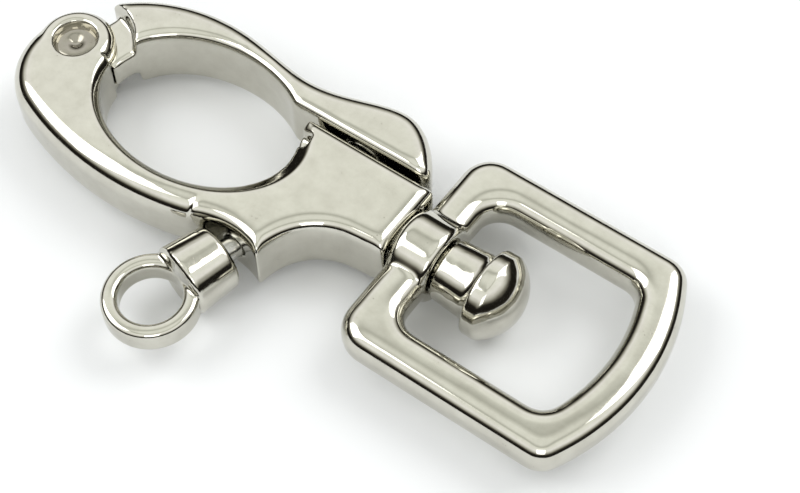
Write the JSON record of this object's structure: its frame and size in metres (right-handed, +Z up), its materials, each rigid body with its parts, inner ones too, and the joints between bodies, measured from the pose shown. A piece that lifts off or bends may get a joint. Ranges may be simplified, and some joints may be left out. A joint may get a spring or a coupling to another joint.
{
  "type": "swivel snap shackle",
  "caption": "Quick-release snap shackle: oval eye closed by a hinged gate, spring pull plunger with ring, and a strap loop that swivels on a domed stud.",
  "frame": {"origin": "under the middle of the shackle, on the surface it lies on", "axes": "+X along the length towards the strap loop, +Y to the gate side, +Z up through the flat of the shackle"},
  "size_m": [0.0913, 0.046, 0.0114],
  "materials": {
    "nickel": "polished nickel plating on zinc die castings",
    "steel": "plain turned steel pin and wire spring"
  },
  "bodies": {
    "frame": {"body": "nickel", "hinge_rivet": "nickel", "swivel_stud": "nickel", "plunger_spring": "steel"},
    "gate": {"gate": "nickel"},
    "plunger": {"plunger": "steel"},
    "knob": {"pull_knob": "nickel"},
    "loop": {"swivel_loop": "nickel"}
  },
  "joints": [
    {"name": "gate_hinge", "type": "hinge", "parent": "frame", "child": "gate", "pos_m": [-0.04005, 0.00579, 0.0057], "axis": [0, 0, 1], "range_deg": [0, 100]},
    {"name": "plunger_pull", "type": "slide", "parent": "frame", "child": "plunger", "axis": [-0.2588, -0.9659, 0], "range_m": [0, 0.004], "stiffness_N_per_m": 900, "springref_m": -0.003, "deforming": ["plunger_spring"]},
    {"name": "knob_turn", "type": "hinge", "parent": "plunger", "child": "knob", "pos_m": [-0.00565, -0.00526, 0.0057], "axis": [0.2588, 0.9659, 0], "continuous": true},
    {"name": "loop_swivel", "type": "hinge", "parent": "frame", "child": "loop", "pos_m": [0.01415, 0.00699, 0.0057], "axis": [1, 0, 0], "continuous": true}
  ]
}
